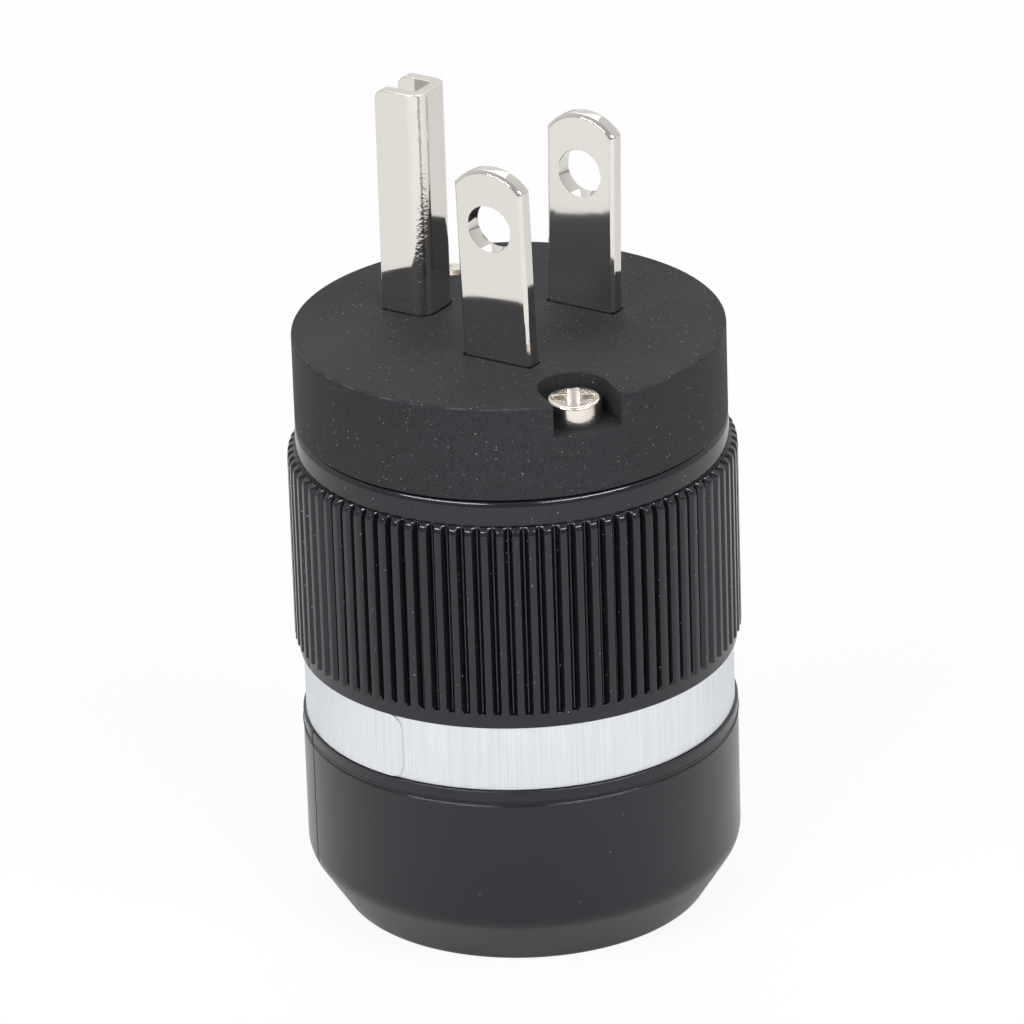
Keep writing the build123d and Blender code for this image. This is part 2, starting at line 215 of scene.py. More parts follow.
# %% [markdown]
# ## Moulded black plastics
#
# Three mouldings make the body: the prong face is a matte thermoset, the grip ring a shinier nylon, and the
# rear shell a satin nylon. Each could have a tree of its own. They differ only in tone, grain, gloss and
# dust, so one function makes all three. Its noise reads Object coordinates, which need no unwrapping and
# keep a pattern's size in millimetres on every piece.

# %% Moulded black plastic
cool_sheen = "#f6f4ff"
plastic_ior = 1.5
cloud_mm = 7
grain_height = 0.05
shinier_patch = 0.03
duller_patch = 0.04
low_noise = 0.3
high_noise = 0.7


def moulded_black(name, dark, light, dust, dust_share, roughness, shine, grain_mm, grain_strength):
    """Black moulded plastic with a speckled tone, a fine grain, uneven gloss and dust specks."""
    material, tree, shader, place = new_finish(
        name, {"IOR": plastic_ior, "Specular IOR Level": shine, "Specular Tint": linear(cool_sheen)}
    )
    cloud = add_node(
        tree, "ShaderNodeTexNoise", inputs={"Vector": place, "Scale": per_mm(cloud_mm), "Detail": 3.0}
    ).outputs["Fac"]
    grain = add_node(
        tree, "ShaderNodeTexNoise", inputs={"Vector": place, "Scale": per_mm(grain_mm), "Detail": 2.0}
    ).outputs["Fac"]
    speckle = add_node(
        tree, "ShaderNodeMapRange", inputs={"Value": grain, "From Min": low_noise, "From Max": high_noise}
    )
    tone = add_node(
        tree, "ShaderNodeMix", {"data_type": "RGBA"},
        {"Factor": speckle.outputs["Result"], COLOUR_A: linear(dark), COLOUR_B: linear(light)},
    )
    specks = dust_mask(tree, place, cloud, dust_share)
    dusty = add_node(
        tree, "ShaderNodeMix", {"data_type": "RGBA"},
        {"Factor": specks, COLOUR_A: tone.outputs[COLOUR_OUT], COLOUR_B: linear(dust)},
    )
    tree.links.new(dusty.outputs[COLOUR_OUT], shader.inputs["Base Color"])
    uneven = add_node(
        tree, "ShaderNodeMapRange",
        inputs={"Value": cloud, "From Min": low_noise, "From Max": high_noise,
                "To Min": roughness - shinier_patch, "To Max": roughness + duller_patch},
    )
    tree.links.new(uneven.outputs["Result"], shader.inputs["Roughness"])
    bump = add_node(
        tree, "ShaderNodeBump",
        inputs={"Height": grain, "Strength": grain_strength, "Distance": grain_height * MM},
    )
    tree.links.new(bump.outputs["Normal"], shader.inputs["Normal"])
    return material


print("such plastic mirrors straight on:", round(((plastic_ior - 1) / (plastic_ior + 1)) ** 2, 3))

# %% The three plastics
# Thermoset from a blasted mould: dark grey, evenly lit, with no clear reflections. Its real tooth is finer
# than a pixel, so the grain is drawn 0.16 mm wide, to show.
matte_thermoset = moulded_black(
    "thermoset_matte_moulded", dark="#242426", light="#323235", dust="#a8a8aa", dust_share=0.5,
    roughness=0.62, shine=0.15, grain_mm=0.16, grain_strength=0.7,
)
# Nylon from a polished mould: near black, with clear bright lines along the nose and the ribs.
gloss_nylon = moulded_black(
    "nylon_semi_gloss_moulded", dark="#0e0e10", light="#131316", dust="#b4b4b6", dust_share=0.18,
    roughness=0.14, shine=0.5, grain_mm=0.4, grain_strength=0.04,
)
# Nylon from a finely ground mould: near black, with a wide soft reflection of what stands round it.
satin_nylon = moulded_black(
    "nylon_satin_moulded", dark="#0d0d0f", light="#131316", dust="#a8a8aa", dust_share=0.02,
    roughness=0.2, shine=0.5, grain_mm=0.4, grain_strength=0.05,
)
print("plastics:", matte_thermoset.name, gloss_nylon.name, satin_nylon.name)

# %% [markdown]
# ## Plated metals
#
# The prongs are brass under bright nickel, almost a mirror and slightly warm. The screws are nickel on
# steel, a little duller, and inside there are plain brass and zinc-plated steel. A metal could be one
# colour and one roughness, but that looks too perfect: a real one bends what it mirrors. So faint waves go
# into its bump, and hazy patches into its roughness. Where sheet is folded, the plating shows small
# pimples, and the surface's own direction keeps them on the bends.

# %% Plated metal
haze_mm = 2.5
clear_noise = 0.35
hazy_noise = 0.7
haze_roughness = 1.6
wave_height = 0.02
pimple_mm = 0.3
pimple_height = 0.06
# The larger of the normal's X and Y parts is 1 on a flat side and smaller on a bend between two sides.
flat_side = 0.995
full_bend = 0.9


def fold_pimples(tree, place, normal, strength):
    """Small pimples on the bends between a piece's flat sides, added to a bumped normal."""
    facing = add_node(tree, "ShaderNodeNewGeometry").outputs["Normal"]
    sizes = add_node(tree, "ShaderNodeVectorMath", {"operation": "ABSOLUTE"}, {0: facing})
    share = add_node(tree, "ShaderNodeSeparateXYZ", inputs={"Vector": sizes.outputs["Vector"]}).outputs
    largest = add_node(tree, "ShaderNodeMath", {"operation": "MAXIMUM"}, {0: share["X"], 1: share["Y"]})
    bend = add_node(
        tree, "ShaderNodeMapRange",
        inputs={"Value": largest.outputs[0], "From Min": flat_side, "From Max": full_bend,
                "To Max": strength},
    )
    pimples = add_node(tree, "ShaderNodeTexNoise", inputs={"Vector": place, "Scale": per_mm(pimple_mm)})
    bump = add_node(
        tree, "ShaderNodeBump",
        inputs={"Height": pimples.outputs["Fac"], "Strength": bend.outputs["Result"],
                "Distance": pimple_height * MM, "Normal": normal},
    )
    return bump.outputs["Normal"]


def plated(name, colour, roughness, wave_mm, wave_strength, pimples=0.0):
    """Metal with faint waves and hazy patches, and pimples along its folds where asked."""
    material, tree, shader, place = new_finish(name, {"Metallic": 1.0, "Base Color": linear(colour)})
    haze = add_node(
        tree, "ShaderNodeTexNoise", inputs={"Vector": place, "Scale": per_mm(haze_mm), "Detail": 4.0}
    )
    uneven = add_node(
        tree, "ShaderNodeMapRange",
        inputs={"Value": haze.outputs["Fac"], "From Min": clear_noise, "From Max": hazy_noise,
                "To Min": roughness, "To Max": roughness * haze_roughness},
    )
    tree.links.new(uneven.outputs["Result"], shader.inputs["Roughness"])
    waves = add_node(tree, "ShaderNodeTexNoise", inputs={"Vector": place, "Scale": per_mm(wave_mm)})
    normal = add_node(
        tree, "ShaderNodeBump",
        inputs={"Height": waves.outputs["Fac"], "Strength": wave_strength, "Distance": wave_height * MM},
    ).outputs["Normal"]
    if pimples:
        normal = fold_pimples(tree, place, normal, pimples)
    tree.links.new(normal, shader.inputs["Normal"])
    return material


print("waves and pimples in mm deep:", wave_height, pimple_height)

# %% Nickel, brass and zinc
# Bright nickel on brass: a warm mirror whose reflections waver a little.
bright_nickel = plated(
    "brass_bright_nickel_plated", "#d5d1cb", roughness=0.05, wave_mm=3.0, wave_strength=0.05
)
# The same on folded sheet: the mirror breaks up into small lights along the bends.
folded_nickel = plated(
    "brass_bright_nickel_folded", "#d5d1cb", roughness=0.05, wave_mm=3.0, wave_strength=0.05, pimples=0.5
)
# Nickel on cold-headed steel: bright, with small uneven glints.
screw_nickel = plated("steel_nickel_plated", "#ddd6cc", roughness=0.18, wave_mm=0.5, wave_strength=0.35)
# Rolled brass: yellow, with a soft sheen.
plain_brass = plated("brass_rolled", "#d9b56a", roughness=0.22, wave_mm=0.6, wave_strength=0.2)
# Zinc on steel: a cold grey sheen.
zinc_steel = plated("steel_zinc_plated", "#c3c6c9", roughness=0.3, wave_mm=0.6, wave_strength=0.2)
print("metals:", [m.name for m in (bright_nickel, folded_nickel, screw_nickel, plain_brass, zinc_steel)])

# %% [markdown]
# ## Brushed foil
#
# The label is silver foil, brushed along the plug's axis, so its streaks run up and down and change only as
# one goes round. A picture of brushed metal would need unwrapping. Noise that is fine across and long
# along the axis gives the same streaks, and it drives tone, gloss and bump, so that the three agree.

# %% Brushed foil
# Real brush lines are a few hundredths of a millimetre wide. They are drawn 0.18 mm wide, to show.
streak_wide = 0.18
streak_long = 9.0
streak_height = 0.01
streak_strength = 0.25
foil_smooth = 0.3
foil_rough = 0.5


def brushed_foil(name, dark, light):
    """Silver foil brushed along the plug's axis."""
    material, tree, shader, place = new_finish(name, {"Metallic": 1.0, "Anisotropic": 0.5})
    squeezed = add_node(
        tree, "ShaderNodeMapping",
        inputs={"Vector": place, "Scale": (per_mm(streak_wide), per_mm(streak_wide), per_mm(streak_long))},
    )
    streaks = add_node(
        tree, "ShaderNodeTexNoise",
        inputs={"Vector": squeezed.outputs["Vector"], "Scale": 1.0, "Detail": 3.0},
    ).outputs["Fac"]
    tone = add_node(
        tree, "ShaderNodeMix", {"data_type": "RGBA"},
        {"Factor": streaks, COLOUR_A: linear(dark), COLOUR_B: linear(light)},
    )
    tree.links.new(tone.outputs[COLOUR_OUT], shader.inputs["Base Color"])
    uneven = add_node(
        tree, "ShaderNodeMapRange", inputs={"Value": streaks, "To Min": foil_smooth, "To Max": foil_rough}
    )
    tree.links.new(uneven.outputs["Result"], shader.inputs["Roughness"])
    bump = add_node(
        tree, "ShaderNodeBump",
        inputs={"Height": streaks, "Strength": streak_strength, "Distance": streak_height * MM},
    )
    tree.links.new(bump.outputs["Normal"], shader.inputs["Normal"])
    return material


# Brushed aluminium foil: a pale silver that glows softly and shows its lines.
silver_foil = brushed_foil("foil_silver_brushed", "#cbcfd4", "#edf0f4")
print("foil:", silver_foil.name)

# %% [markdown]
# ## Softer copies of the CAD pieces
#
# A CAD export is loose triangles with knife-sharp edges, and real mouldings never have those. Subdivision
# would melt the flats too. So a helper copies a node, welds its corners, clears the needless edges inside
# flat faces, and rounds what is left with the Bevel modifier. Edges that need a larger round get a bevel
# weight first. The finished mesh takes the place of the CAD node, which stays hidden where it is.

# %% Weld a copy, and apply modifiers
weld_reach = 0.002
flat_within = radians(0.4)


def welded(node):
    """A copy of a CAD node's mesh as welded faces, in a bmesh."""
    work = bmesh.new()
    work.from_mesh(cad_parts[node].data)
    bmesh.ops.remove_doubles(work, verts=work.verts, dist=weld_reach * MM)
    bmesh.ops.dissolve_limit(work, angle_limit=flat_within, verts=work.verts, edges=work.edges)
    return work


def apply_modifiers(piece):
    """Makes what a piece's modifiers show its plain mesh, and removes them."""
    made = bpy.data.meshes.new_from_object(piece.evaluated_get(bpy.context.evaluated_depsgraph_get()))
    piece.modifiers.clear()
    piece.data = made
    return made


def new_piece(name, work):
    """An object at the origin with a bmesh's mesh."""
    mesh = bpy.data.meshes.new(name)
    work.to_mesh(mesh)
    work.free()
    piece = bpy.data.objects.new(name, mesh)
    bpy.context.scene.collection.objects.link(piece)
    return piece


print("corners are welded within", weld_reach, "mm")

# %% Round and shade a piece
large_steps = 5
small_steps = 3
large_faces_first = 100


def rounded_piece(name, work, material, small_round, sharp_degrees, on_large=None, large_round=0.0):
    """A finished piece from a bmesh: a large round where asked, then a small one on every sharp edge."""
    if on_large:
        weight = work.edges.layers.float.new("bevel_weight_edge")
        for edge in work.edges:
            if on_large((edge.verts[0].co + edge.verts[1].co) / 2 / MM, edge):
                edge[weight] = 1.0
    piece = new_piece(name, work)
    if on_large:
        large = piece.modifiers.new("large_round", "BEVEL")
        large.limit_method = "WEIGHT"
        large.width = large_round * MM
        large.segments = large_steps
        large.use_clamp_overlap = False
    small = piece.modifiers.new("small_round", "BEVEL")
    small.limit_method = "ANGLE"
    small.angle_limit = radians(sharp_degrees)
    small.width = small_round * MM
    small.segments = small_steps
    small.use_clamp_overlap = False
    small.miter_outer = "MITER_ARC"
    made = apply_modifiers(piece)
    made.shade_smooth()
    made.set_sharp_from_angle(angle=radians(sharp_degrees))
    # Weighted normals keep the large faces flat, so that only the rounds between them turn the light.
    flats = piece.modifiers.new("flats", "WEIGHTED_NORMAL")
    flats.mode = "FACE_AREA"
    flats.weight = large_faces_first
    flats.keep_sharp = True
    made = apply_modifiers(piece)
    made.materials.clear()
    made.materials.append(material)
    print(name, "faces:", len(made.polygons))
    return piece


def stand_for(piece, node):
    """The piece takes a CAD node's place on the plug."""
    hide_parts(node)
    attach(piece, "root")


print("steps in a large and a small round:", large_steps, small_steps)

# %% [markdown]
# ## The prong face
#
# The face and the band under it are one moulding. Its rim is barely rounded, as a mould's edge leaves it,
# and use has rubbed it pale in patches. The pale line is also a painted highlight, which stands in for the
# light that so small and rough a round would catch. Wear and highlight could be painted on vertices, but
# the rim has too few of them. So the material finds the rim by its height and its distance from the axis,
# and noise breaks the pale line into patches.

# %% The rim's rubbed wear and painted highlight
plain_rim_noise = 0.42
pale_rim_noise = 0.7


def rim_wear_and_highlight(material, height, rim, band, patch_mm, rubbed_and_lit_tone):
    """Paler patches of wear and painted highlight where the top at this height meets the side at this
    radius.
    """
    tree = material.node_tree
    shader = next(n for n in tree.nodes if n.type == "BSDF_PRINCIPLED")
    plain = shader.inputs["Base Color"].links[0].from_socket
    place = add_node(tree, "ShaderNodeTexCoord").outputs["Object"]
    part = add_node(tree, "ShaderNodeSeparateXYZ", inputs={"Vector": place}).outputs
    flat = add_node(tree, "ShaderNodeCombineXYZ", inputs={"X": part["X"], "Y": part["Y"]})
    radius = add_node(
        tree, "ShaderNodeVectorMath", {"operation": "LENGTH"}, {0: flat.outputs["Vector"]}
    ).outputs["Value"]
    patches = add_node(
        tree, "ShaderNodeTexNoise", inputs={"Vector": place, "Scale": per_mm(patch_mm), "Detail": 3.0}
    )
    mask = add_node(
        tree, "ShaderNodeMapRange",
        inputs={"Value": patches.outputs["Fac"], "From Min": plain_rim_noise, "From Max": pale_rim_noise},
    ).outputs["Result"]
    # The pale wear and painted highlight come in over one width of the band, and are full half a width from
    # the edge.
    for distance, edge in ((part["Z"], height), (radius, rim)):
        near_edge = add_node(
            tree, "ShaderNodeMapRange",
            inputs={"Value": distance, "From Min": (edge - 1.5 * band) * MM,
                    "From Max": (edge - 0.5 * band) * MM},
        )
        mask = add_node(
            tree, "ShaderNodeMath", {"operation": "MULTIPLY"}, {0: mask, 1: near_edge.outputs["Result"]}
        ).outputs[0]
    tone = add_node(
        tree, "ShaderNodeMix", {"data_type": "RGBA"},
        {"Factor": mask, COLOUR_A: plain, COLOUR_B: linear(rubbed_and_lit_tone)},
    )
    tree.links.new(tone.outputs[COLOUR_OUT], shader.inputs["Base Color"])


face_mm = face_height / MM
rim_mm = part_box("front_insert")[1].x / MM
# Painted highlight and rubbed wear: the face's rim turns a paler grey in patches.
rim_wear_and_highlight(matte_thermoset, height=face_mm, rim=rim_mm, band=0.12, patch_mm=1.5, rubbed_and_lit_tone="#57575a")
print("face height and rim radius in mm:", round(face_mm, 2), round(rim_mm, 2))

# %% Prong face
level_slack = 0.01
rim_slack = 0.05


def on_face_rim(middle, edge):
    """True on the outer edge of the prong face."""
    return abs(middle.z - face_mm) < level_slack and middle.xy.length > rim_mm - rim_slack


insert = rounded_piece(
    "prong_face", welded("front_insert"), matte_thermoset,
    small_round=0.1, sharp_degrees=32.0, on_large=on_face_rim, large_round=0.25,
)
stand_for(insert, "front_insert")

# %% [markdown]
# ## The prongs
#
# Blades are punched from strip and tumbled before plating, so their bevels melt a little into the flats.
# The ground pin is sheet folded to a U. The CAD solids already have the bevels, holes and folds, so copies
# of them need only their small rounds. A low angle limit rounds the blades' shallow bevels too.

# %% Blades and ground pin
for node, name in (("neutral_blade", "neutral_blade_plated"), ("line_blade", "line_blade_plated")):
    blade = rounded_piece(name, welded(node), bright_nickel, small_round=0.05, sharp_degrees=20.0)
    stand_for(blade, node)
pin = rounded_piece(
    "ground_pin_plated", welded("ground_pin"), folded_nickel, small_round=0.08, sharp_degrees=40.0
)
stand_for(pin, "ground_pin")

# %% [markdown]
# ## The two long screws
#
# Their pan heads sit in the pockets of the face. The top edge of a head is well rounded, and the cross
# recess has crisp lips. One bevel width would spoil one or the other, so the heads' rims get a large round
# by bevel weight and the rest a small one.

# %% Long screws
head_radius = 2.25
rim_share = 0.95
screw_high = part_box("assembly_screws")[1] / MM
screw_axis = Vector((screw_high.x - head_radius, screw_high.y - head_radius, 0))


def on_head_rim(middle, edge):
    """True on the outer rim of a head's top."""
    if abs(middle.z - screw_high.z) > level_slack:
        return False
    return min((middle - s * screw_axis).xy.length for s in (-1, 1)) > rim_share * head_radius


screws = rounded_piece(
    "long_screws_plated", welded("assembly_screws"), screw_nickel,
    small_round=0.05, sharp_degrees=40.0, on_large=on_head_rim, large_round=0.28,
)
stand_for(screws, "assembly_screws")

# %% [markdown]
# ## The ribbed grip's core
#
# The ring under the face has a smooth nose, and below it ninety upright ribs on a smooth core. Nose and
# core are one profile turned round the axis. A Screw modifier could turn it too. A short loop closes the
# ring by itself and leaves no seam to merge, and a helper rounds each corner of the profile by its own
# radius: the nose gets a full round, and its lower lip stays crisp.

# %% Turn a profile round the axis
def round_corners(corners, steps):
    """A closed outline of radius, height and round, each corner replaced by an arc of its round."""
    points = [Vector(corner[:2]) for corner in corners]
    smooth = []
    for index, corner in enumerate(points):
        bend = corners[index][2]
        if not bend:
            smooth.append(corner)
            continue
        before = (points[index - 1] - corner).normalized()
        after = (points[(index + 1) % len(points)] - corner).normalized()
        half = before.angle(after) / 2
        middle = corner + (before + after).normalized() * bend / sin(half)
        start = (corner + before * bend / tan(half) - middle).normalized()
        end = (corner + after * bend / tan(half) - middle).normalized()
        for step in range(steps + 1):
            smooth.append(middle + start.slerp(end, step / steps) * bend)
    return smooth


def turned_piece(name, outline, around):
    """A closed outline of radius and height in millimetres, turned once round the axis."""
    work = bmesh.new()
    rings = []
    for step in range(around):
        turn = 2 * pi * step / around
        rings.append([work.verts.new((r * cos(turn) * MM, r * sin(turn) * MM, z * MM)) for r, z in outline])
    for step, ring in enumerate(rings):
        beside = rings[(step + 1) % around]
        for index in range(len(ring)):
            nxt = (index + 1) % len(ring)
            work.faces.new((ring[index], beside[index], beside[nxt], ring[nxt]))
    bmesh.ops.recalc_face_normals(work, faces=work.faces)
    return new_piece(name, work)


ring_low, ring_high = (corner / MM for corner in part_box("grip_ring"))
print("grip ring height in mm:", round(ring_high.z - ring_low.z, 2))

# %% Nose and core
grip_bottom = ring_low.z
grip_top = ring_high.z
rib_depth = 0.6
ring_wall = 1.83
nose_inset = 0.7
nose_height = 2.23
root_radius = ring_high.x - rib_depth
bore_radius = ring_high.x - ring_wall
nose_radius = ring_high.x - nose_inset
nose_bottom = grip_top - nose_height
ring_outline = round_corners(
    [
        (bore_radius, grip_bottom, 0),
        (root_radius, grip_bottom, 0),
        (root_radius, nose_bottom, 0.09),
        (nose_radius, nose_bottom, 0.01),
        (nose_radius, grip_top, 0.7),
        (bore_radius, grip_top, 0.1),
    ],
    steps=6,
)
grip = turned_piece("ribbed_grip", ring_outline, around=288)
print("grip core points per section:", len(ring_outline))

# %% [markdown]
# ## The ribs
#
# The ribs let a wet hand pull the plug. They could be modelled once and copied with an Array modifier, but
# ninety pieces that all follow one rule are what Geometry Nodes are for, and each size stays a named input.
# A tapered section with rounded corners runs up a line, the upper end leans in under the nose, and copies
# stand round the ring. The tree ends in plain geometry with its material, joined to the core.

# %% The rib tree and its inputs
# Each rib's root is sunk a little into the core, so that no gap shows.
rib_sink = 0.05
rib_settings = (
    ("Core", "NodeSocketGeometry", None),
    ("Ribs", "NodeSocketInt", 90),
    ("First turn", "NodeSocketFloat", radians(1.07)),
    ("Root radius", "NodeSocketFloat", (root_radius - rib_sink) * MM),
    ("Depth", "NodeSocketFloat", (rib_depth + rib_sink) * MM),
    ("Root width", "NodeSocketFloat", 1.27 * MM),
    ("Tip width", "NodeSocketFloat", 0.5 * MM),
    ("Edge round", "NodeSocketFloat", 0.09 * MM),
    ("Bottom", "NodeSocketFloat", grip_bottom * MM),
    ("Top", "NodeSocketFloat", nose_bottom * MM),
    ("End run", "NodeSocketFloat", 0.55 * MM),
    ("End lean", "NodeSocketFloat", 0.42 * MM),
    ("Plastic", "NodeSocketMaterial", gloss_nylon),
)
rib_tree = bpy.data.node_groups.new("grip_ribs", "GeometryNodeTree")
rib_inputs = {}
for name, kind, value in rib_settings:
    socket = rib_tree.interface.new_socket(name=name, in_out="INPUT", socket_type=kind)
    rib_inputs[socket.identifier] = value
rib_tree.interface.new_socket(name="Grip", in_out="OUTPUT", socket_type="NodeSocketGeometry")
given = add_node(rib_tree, "NodeGroupInput").outputs
print("rib tree inputs:", len(rib_inputs))

# %% A rib's spine
# The spine's points crowd towards its upper end, where the rib will bend.
spine_points = 14
crowding = 5.0
line = add_node(rib_tree, "GeometryNodeCurvePrimitiveLine")
dense = add_node(
    rib_tree, "GeometryNodeResampleCurve", inputs={"Curve": line.outputs["Curve"], "Count": spine_points}
)
along = add_node(rib_tree, "GeometryNodeSplineParameter").outputs["Factor"]
left_over = add_node(rib_tree, "ShaderNodeMath", {"operation": "SUBTRACT"}, {0: 1.0, 1: along})
crowded = add_node(
    rib_tree, "ShaderNodeMath", {"operation": "POWER"}, {0: left_over.outputs[0], 1: crowding}
)
height = add_node(
    rib_tree, "ShaderNodeMapRange",
    inputs={"Value": crowded.outputs[0], "To Min": given["Top"], "To Max": given["Bottom"]},
)
upright = add_node(rib_tree, "ShaderNodeCombineXYZ", inputs={"Z": height.outputs["Result"]})
spine = add_node(
    rib_tree, "GeometryNodeSetPosition",
    inputs={"Geometry": dense.outputs["Curve"], "Position": upright.outputs["Vector"]},
)
print("points on a spine:", spine_points)

# %% A rib's section, swept along the spine
corner_points = 3
tip_outwards = (0, 0, radians(-90))
section = add_node(
    rib_tree, "GeometryNodeCurvePrimitiveQuadrilateral", {"mode": "TRAPEZOID"},
    {"Height": given["Depth"], "Bottom Width": given["Root width"], "Top Width": given["Tip width"],
     "Offset": 0.0},
)
soft_section = add_node(
    rib_tree, "GeometryNodeFilletCurve", {"mode": "POLY"},
    {"Curve": section.outputs["Curve"], "Count": corner_points, "Radius": given["Edge round"],
     "Limit Radius": True},
)
tip_out = add_node(
    rib_tree, "GeometryNodeTransform",
    inputs={"Geometry": soft_section.outputs["Curve"], "Rotation": tip_outwards},
)
rib = add_node(
    rib_tree, "GeometryNodeCurveToMesh",
    inputs={"Curve": spine.outputs["Geometry"], "Profile Curve": tip_out.outputs["Geometry"],
            "Fill Caps": True},
)
print("nodes for a straight rib:", len(rib_tree.nodes))

# %% The leaning end, and the rib's place on the ring
# How far a point leans in grows as the square of its way up the end run. Only the rib's outer half leans.
lean_power = 2.0
spot = add_node(rib_tree, "GeometryNodeInputPosition").outputs["Position"]
part = add_node(rib_tree, "ShaderNodeSeparateXYZ", inputs={"Vector": spot}).outputs
end_start = add_node(
    rib_tree, "ShaderNodeMath", {"operation": "SUBTRACT"}, {0: given["Top"], 1: given["End run"]}
)
way_up = add_node(
    rib_tree, "ShaderNodeMapRange",
    inputs={"Value": part["Z"], "From Min": end_start.outputs[0], "From Max": given["Top"]},
)
curved = add_node(
    rib_tree, "ShaderNodeMath", {"operation": "POWER"}, {0: way_up.outputs["Result"], 1: lean_power}
)
outside = add_node(rib_tree, "ShaderNodeMath", {"operation": "GREATER_THAN"}, {0: part["X"], 1: 0.0})
inward = add_node(
    rib_tree, "ShaderNodeMath", {"operation": "MULTIPLY"}, {0: curved.outputs[0], 1: outside.outputs[0]}
)
pull = add_node(
    rib_tree, "ShaderNodeMath", {"operation": "MULTIPLY"}, {0: inward.outputs[0], 1: given["End lean"]}
)
half_depth = add_node(rib_tree, "ShaderNodeMath", {"operation": "MULTIPLY"}, {0: given["Depth"], 1: 0.5})
to_ring = add_node(
    rib_tree, "ShaderNodeMath", {"operation": "ADD"}, {0: given["Root radius"], 1: half_depth.outputs[0]}
)
out = add_node(
    rib_tree, "ShaderNodeMath", {"operation": "SUBTRACT"}, {0: to_ring.outputs[0], 1: pull.outputs[0]}
)
move = add_node(rib_tree, "ShaderNodeCombineXYZ", inputs={"X": out.outputs[0]})
seated = add_node(
    rib_tree, "GeometryNodeSetPosition",
    inputs={"Geometry": rib.outputs["Mesh"], "Offset": move.outputs["Vector"]},
)
print("nodes for a seated rib:", len(rib_tree.nodes))

# %% Copies round the ring
spots = add_node(rib_tree, "GeometryNodeMeshLine", inputs={"Count": given["Ribs"], "Offset": (0, 0, 0)})
pitch = add_node(rib_tree, "ShaderNodeMath", {"operation": "DIVIDE"}, {0: 2 * pi, 1: given["Ribs"]})
number = add_node(rib_tree, "GeometryNodeInputIndex").outputs["Index"]
rib_turn = add_node(
    rib_tree, "ShaderNodeMath", {"operation": "MULTIPLY_ADD"},
    {0: number, 1: pitch.outputs[0], 2: given["First turn"]},
)
facing = add_node(rib_tree, "ShaderNodeCombineXYZ", inputs={"Z": rib_turn.outputs[0]})
copies = add_node(
    rib_tree, "GeometryNodeInstanceOnPoints",
    inputs={"Points": spots.outputs["Mesh"], "Instance": seated.outputs["Geometry"],
            "Rotation": facing.outputs["Vector"]},
)
real = add_node(rib_tree, "GeometryNodeRealizeInstances", inputs={"Geometry": copies.outputs["Instances"]})
joined = add_node(rib_tree, "GeometryNodeJoinGeometry", inputs={"Geometry": given["Core"]})
rib_tree.links.new(real.outputs["Geometry"], joined.inputs["Geometry"])
dressed = add_node(
    rib_tree, "GeometryNodeSetMaterial",
    inputs={"Geometry": joined.outputs["Geometry"], "Material": given["Plastic"]},
)
add_node(rib_tree, "NodeGroupOutput", inputs={"Grip": dressed.outputs["Geometry"]})
print("nodes in the rib tree:", len(rib_tree.nodes))

# %% Dress the core with its ribs
rib_crease = radians(40)
ribs = grip.modifiers.new("ribs", "NODES")
ribs.node_group = rib_tree
for identifier, value in rib_inputs.items():
    if value is not None:
        ribs[identifier] = value
ribbed_mesh = apply_modifiers(grip)
ribbed_mesh.shade_smooth()
ribbed_mesh.set_sharp_from_angle(angle=rib_crease)
stand_for(grip, "grip_ring")
print("ribbed grip faces:", len(ribbed_mesh.polygons))

# %% [markdown]
# ## The rear shell
#
# The shell is two halves that meet in a fine seam. Its wall bends softly into a taper, the foot's edge is
# rounded, and a fine pressed line with raised lips runs round it under the label. A wide bevel could make
# the bend, but not the line. So the copy is cut at the right heights, and the new rings of points are moved
# in or out to the radius that the bend and the line have there.

# %% The soft bend and the pressed line
body_radius = 17.93
foot_radius = 15.0
cone_top = 4.6
bend_radius = 2.5
bend_steps = 6
cone_slope = atan2(body_radius - foot_radius, cone_top)
bend_top = cone_top + bend_radius * tan(cone_slope / 2)
bend_low = bend_top - bend_radius * sin(cone_slope)
line_height = 15.4
# Depth into the wall at each height above or below the line's middle. Below zero is a raised lip.
line_depths = {-0.24: 0.0, -0.16: -0.02, -0.07: 0.12, 0.07: 0.12, 0.14: -0.03, 0.2: -0.05, 0.28: 0.0}
same_level = 0.001
bend_reach = 1
line_reach = 0.1


def soft_wall(work):
    """Bends the wall softly into the taper, and presses the fine line under the label into it."""
    slopes = [cone_slope * step / bend_steps for step in range(bend_steps + 1)]
    bend_levels = [bend_top - bend_radius * sin(slope) for slope in slopes]
    line_levels = [line_height + offset for offset in line_depths]
    for level in bend_levels + line_levels:
        everything = work.verts[:] + work.edges[:] + work.faces[:]
        bmesh.ops.bisect_plane(work, geom=everything, plane_co=(0, 0, level * MM), plane_no=(0, 0, 1))
    for vert in work.verts:
        radius = vert.co.xy.length / MM
        height = vert.co.z / MM
        wanted = radius
        if bend_low - same_level < height < bend_top and radius > body_radius - bend_reach:
            wanted = body_radius - bend_radius + sqrt(bend_radius**2 - (bend_top - height)**2)
        for offset, depth in line_depths.items():
            if abs(height - line_height - offset) < same_level and radius > body_radius - line_reach:
                wanted = body_radius - depth
        vert.co.xy *= wanted / radius
    return work


print("the bend runs from", round(bend_low, 2), "to", round(bend_top, 2), "mm")

# %% Shell halves
foot_slack = 0.05
foot_rim = 0.5
longest_arc_edge = 2


def on_foot_edge(middle, edge):
    """True on the outer edge of the foot, whose arc is in short edges, and not on the seam's long ones."""
    if abs(middle.z) >= foot_slack or edge.calc_length() >= longest_arc_edge * MM:
        return False
    return middle.xy.length > foot_radius - foot_rim


